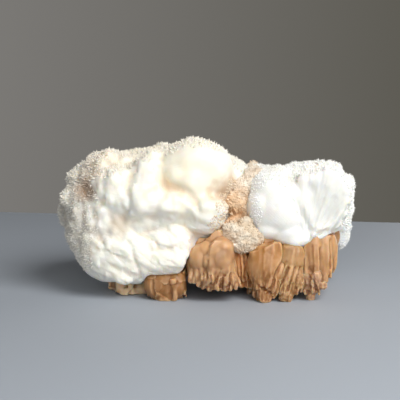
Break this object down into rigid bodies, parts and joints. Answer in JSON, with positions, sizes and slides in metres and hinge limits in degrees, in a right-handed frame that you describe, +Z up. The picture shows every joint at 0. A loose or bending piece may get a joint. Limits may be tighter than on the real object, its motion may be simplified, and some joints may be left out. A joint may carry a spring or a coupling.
{
  "type": "scolecite on stilbite mineral specimen",
  "caption": "Mineral specimen of rounded white and cream scolecite sprays grown over honey-coloured stilbite sheaves, free-standing on the tips of its crystals.",
  "frame": {"origin": "on the table, under the middle of the specimen's bounding box", "axes": "+Z up, +X to the right along the specimen's length, the pictured front faces -Y"},
  "size_m": [0.1508, 0.0808, 0.0767],
  "materials": {
    "scolecite": "silky translucent white to cream, sugary druse on the outside",
    "honey_druse": "coarse sparkling peach and honey crystals",
    "stilbite": "pearly honey-brown blades with fine striations"
  },
  "bodies": {
    "root": {"scolecite_left_mass": "scolecite", "scolecite_right_fan": "scolecite", "scolecite_rear_flap": "scolecite", "cleft_druse": "honey_druse", "stilbite_left_sliver": "stilbite", "stilbite_left_foot": "stilbite", "stilbite_centre_sheaf": "stilbite", "stilbite_middle_blades": "stilbite", "stilbite_foot_sheaf": "stilbite", "stilbite_khaki_sheaf": "stilbite", "stilbite_right_columns": "stilbite", "stilbite_small_cluster": "stilbite", "stilbite_back_centre": "stilbite", "stilbite_back_right": "stilbite"}
  },
  "joints": []
}
